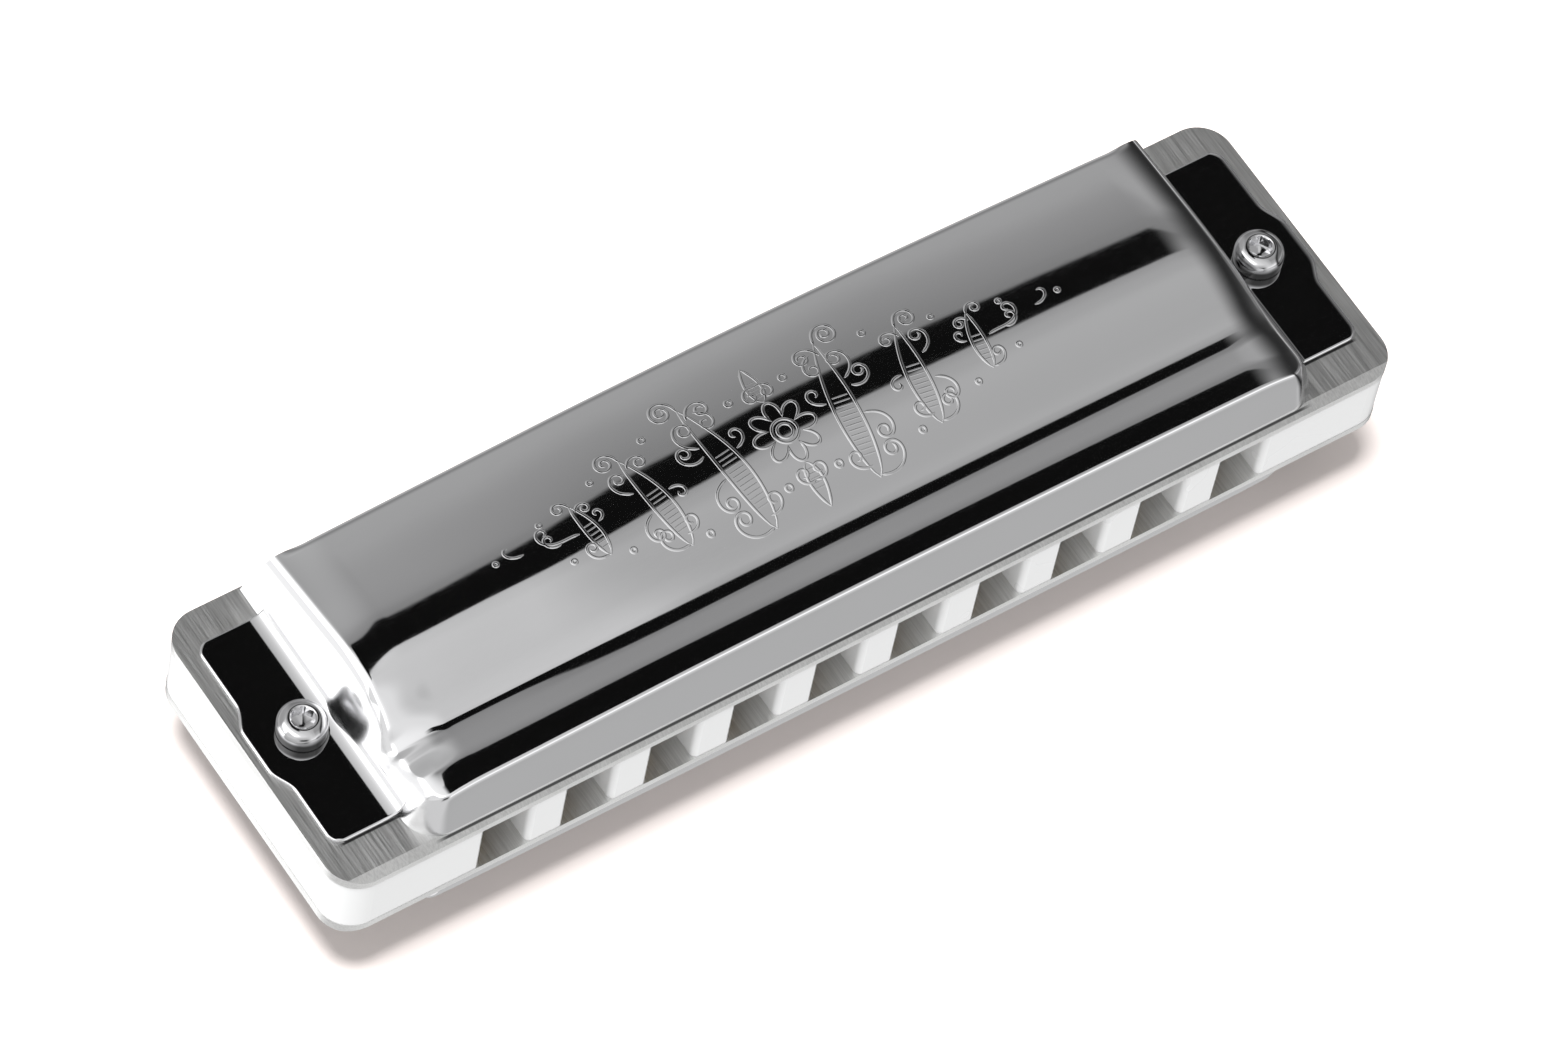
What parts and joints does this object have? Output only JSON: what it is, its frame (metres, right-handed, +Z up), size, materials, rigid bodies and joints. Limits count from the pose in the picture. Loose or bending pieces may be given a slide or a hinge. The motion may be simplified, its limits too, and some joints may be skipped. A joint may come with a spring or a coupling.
{
  "type": "diatonic harmonica",
  "caption": "Diatonic harmonica with a white plastic comb, metal reed plates with free reeds, and two folded steel covers open at the back",
  "frame": {"origin": "under the middle of the body, at the lowest point of the lower cover", "axes": "+X along the length towards the high notes, +Y from the mouth holes to the open back, +Z up"},
  "size_m": [0.102, 0.028, 0.0207],
  "materials": {
    "comb_plastic": "glossy white",
    "reed_plate": "fine brushed nickel silver",
    "cover_steel": "mirror polished",
    "fastener": "polished",
    "small_screw": "satin",
    "reed": "fine ground",
    "rivet": "satin"
  },
  "bodies": {
    "body": {"comb": "comb_plastic", "upper_reed_plate": "reed_plate", "lower_reed_plate": "reed_plate", "upper_cover": "cover_steel", "lower_cover": "cover_steel", "cover_screws": "fastener", "cover_nuts": "fastener", "reed_plate_screws": "small_screw", "blow_reed_pads": "reed", "draw_reed_pads": "reed", "blow_reed_rivets": "rivet", "draw_reed_rivets": "rivet"},
    "blow_reed_1": {"blow_reed_1": "reed"},
    "blow_reed_2": {"blow_reed_2": "reed"},
    "blow_reed_3": {"blow_reed_3": "reed"},
    "blow_reed_4": {"blow_reed_4": "reed"},
    "blow_reed_5": {"blow_reed_5": "reed"},
    "blow_reed_6": {"blow_reed_6": "reed"},
    "blow_reed_7": {"blow_reed_7": "reed"},
    "blow_reed_8": {"blow_reed_8": "reed"},
    "blow_reed_9": {"blow_reed_9": "reed"},
    "blow_reed_10": {"blow_reed_10": "reed"},
    "draw_reed_1": {"draw_reed_1": "reed"},
    "draw_reed_2": {"draw_reed_2": "reed"},
    "draw_reed_3": {"draw_reed_3": "reed"},
    "draw_reed_4": {"draw_reed_4": "reed"},
    "draw_reed_5": {"draw_reed_5": "reed"},
    "draw_reed_6": {"draw_reed_6": "reed"},
    "draw_reed_7": {"draw_reed_7": "reed"},
    "draw_reed_8": {"draw_reed_8": "reed"},
    "draw_reed_9": {"draw_reed_9": "reed"},
    "draw_reed_10": {"draw_reed_10": "reed"}
  },
  "joints": [
    {"name": "blow_reed_1_flex", "type": "hinge", "parent": "body", "child": "blow_reed_1", "pos_m": [-0.03555, -0.0084, 0.01312], "axis": [1, 0, 0], "range_deg": [-3.5, 3.5], "stiffness_Nm_per_rad": 0.0128},
    {"name": "blow_reed_2_flex", "type": "hinge", "parent": "body", "child": "blow_reed_2", "pos_m": [-0.02765, -0.0084, 0.01312], "axis": [1, 0, 0], "range_deg": [-3.5, 3.5], "stiffness_Nm_per_rad": 0.0136},
    {"name": "blow_reed_3_flex", "type": "hinge", "parent": "body", "child": "blow_reed_3", "pos_m": [-0.01975, -0.0084, 0.01312], "axis": [1, 0, 0], "range_deg": [-3.5, 3.5], "stiffness_Nm_per_rad": 0.0144},
    {"name": "blow_reed_4_flex", "type": "hinge", "parent": "body", "child": "blow_reed_4", "pos_m": [-0.01185, -0.0084, 0.01312], "axis": [1, 0, 0], "range_deg": [-3.5, 3.5], "stiffness_Nm_per_rad": 0.0152},
    {"name": "blow_reed_5_flex", "type": "hinge", "parent": "body", "child": "blow_reed_5", "pos_m": [-0.00395, -0.0084, 0.01312], "axis": [1, 0, 0], "range_deg": [-3.5, 3.5], "stiffness_Nm_per_rad": 0.016},
    {"name": "blow_reed_6_flex", "type": "hinge", "parent": "body", "child": "blow_reed_6", "pos_m": [0.00395, -0.0084, 0.01312], "axis": [1, 0, 0], "range_deg": [-3.5, 3.5], "stiffness_Nm_per_rad": 0.0168},
    {"name": "blow_reed_7_flex", "type": "hinge", "parent": "body", "child": "blow_reed_7", "pos_m": [0.01185, -0.0084, 0.01312], "axis": [1, 0, 0], "range_deg": [-3.5, 3.5], "stiffness_Nm_per_rad": 0.0176},
    {"name": "blow_reed_8_flex", "type": "hinge", "parent": "body", "child": "blow_reed_8", "pos_m": [0.01975, -0.0084, 0.01312], "axis": [1, 0, 0], "range_deg": [-3.5, 3.5], "stiffness_Nm_per_rad": 0.0184},
    {"name": "blow_reed_9_flex", "type": "hinge", "parent": "body", "child": "blow_reed_9", "pos_m": [0.02765, -0.0084, 0.01312], "axis": [1, 0, 0], "range_deg": [-3.5, 3.5], "stiffness_Nm_per_rad": 0.0192},
    {"name": "blow_reed_10_flex", "type": "hinge", "parent": "body", "child": "blow_reed_10", "pos_m": [0.03555, -0.0084, 0.01312], "axis": [1, 0, 0], "range_deg": [-3.5, 3.5], "stiffness_Nm_per_rad": 0.02},
    {"name": "draw_reed_1_flex", "type": "hinge", "parent": "body", "child": "draw_reed_1", "pos_m": [-0.03555, 0.0065, 0.00637], "axis": [1, 0, 0], "range_deg": [-3.5, 3.5], "stiffness_Nm_per_rad": 0.0128},
    {"name": "draw_reed_2_flex", "type": "hinge", "parent": "body", "child": "draw_reed_2", "pos_m": [-0.02765, 0.00578, 0.00637], "axis": [1, 0, 0], "range_deg": [-3.5, 3.5], "stiffness_Nm_per_rad": 0.0136},
    {"name": "draw_reed_3_flex", "type": "hinge", "parent": "body", "child": "draw_reed_3", "pos_m": [-0.01975, 0.00506, 0.00637], "axis": [1, 0, 0], "range_deg": [-3.5, 3.5], "stiffness_Nm_per_rad": 0.0144},
    {"name": "draw_reed_4_flex", "type": "hinge", "parent": "body", "child": "draw_reed_4", "pos_m": [-0.01185, 0.00433, 0.00637], "axis": [1, 0, 0], "range_deg": [-3.5, 3.5], "stiffness_Nm_per_rad": 0.0152},
    {"name": "draw_reed_5_flex", "type": "hinge", "parent": "body", "child": "draw_reed_5", "pos_m": [-0.00395, 0.00361, 0.00637], "axis": [1, 0, 0], "range_deg": [-3.5, 3.5], "stiffness_Nm_per_rad": 0.016},
    {"name": "draw_reed_6_flex", "type": "hinge", "parent": "body", "child": "draw_reed_6", "pos_m": [0.00395, 0.00289, 0.00637], "axis": [1, 0, 0], "range_deg": [-3.5, 3.5], "stiffness_Nm_per_rad": 0.0168},
    {"name": "draw_reed_7_flex", "type": "hinge", "parent": "body", "child": "draw_reed_7", "pos_m": [0.01185, 0.00217, 0.00637], "axis": [1, 0, 0], "range_deg": [-3.5, 3.5], "stiffness_Nm_per_rad": 0.0176},
    {"name": "draw_reed_8_flex", "type": "hinge", "parent": "body", "child": "draw_reed_8", "pos_m": [0.01975, 0.00144, 0.00637], "axis": [1, 0, 0], "range_deg": [-3.5, 3.5], "stiffness_Nm_per_rad": 0.0184},
    {"name": "draw_reed_9_flex", "type": "hinge", "parent": "body", "child": "draw_reed_9", "pos_m": [0.02765, 0.00072, 0.00637], "axis": [1, 0, 0], "range_deg": [-3.5, 3.5], "stiffness_Nm_per_rad": 0.0192},
    {"name": "draw_reed_10_flex", "type": "hinge", "parent": "body", "child": "draw_reed_10", "pos_m": [0.03555, 0, 0.00637], "axis": [1, 0, 0], "range_deg": [-3.5, 3.5], "stiffness_Nm_per_rad": 0.02}
  ]
}
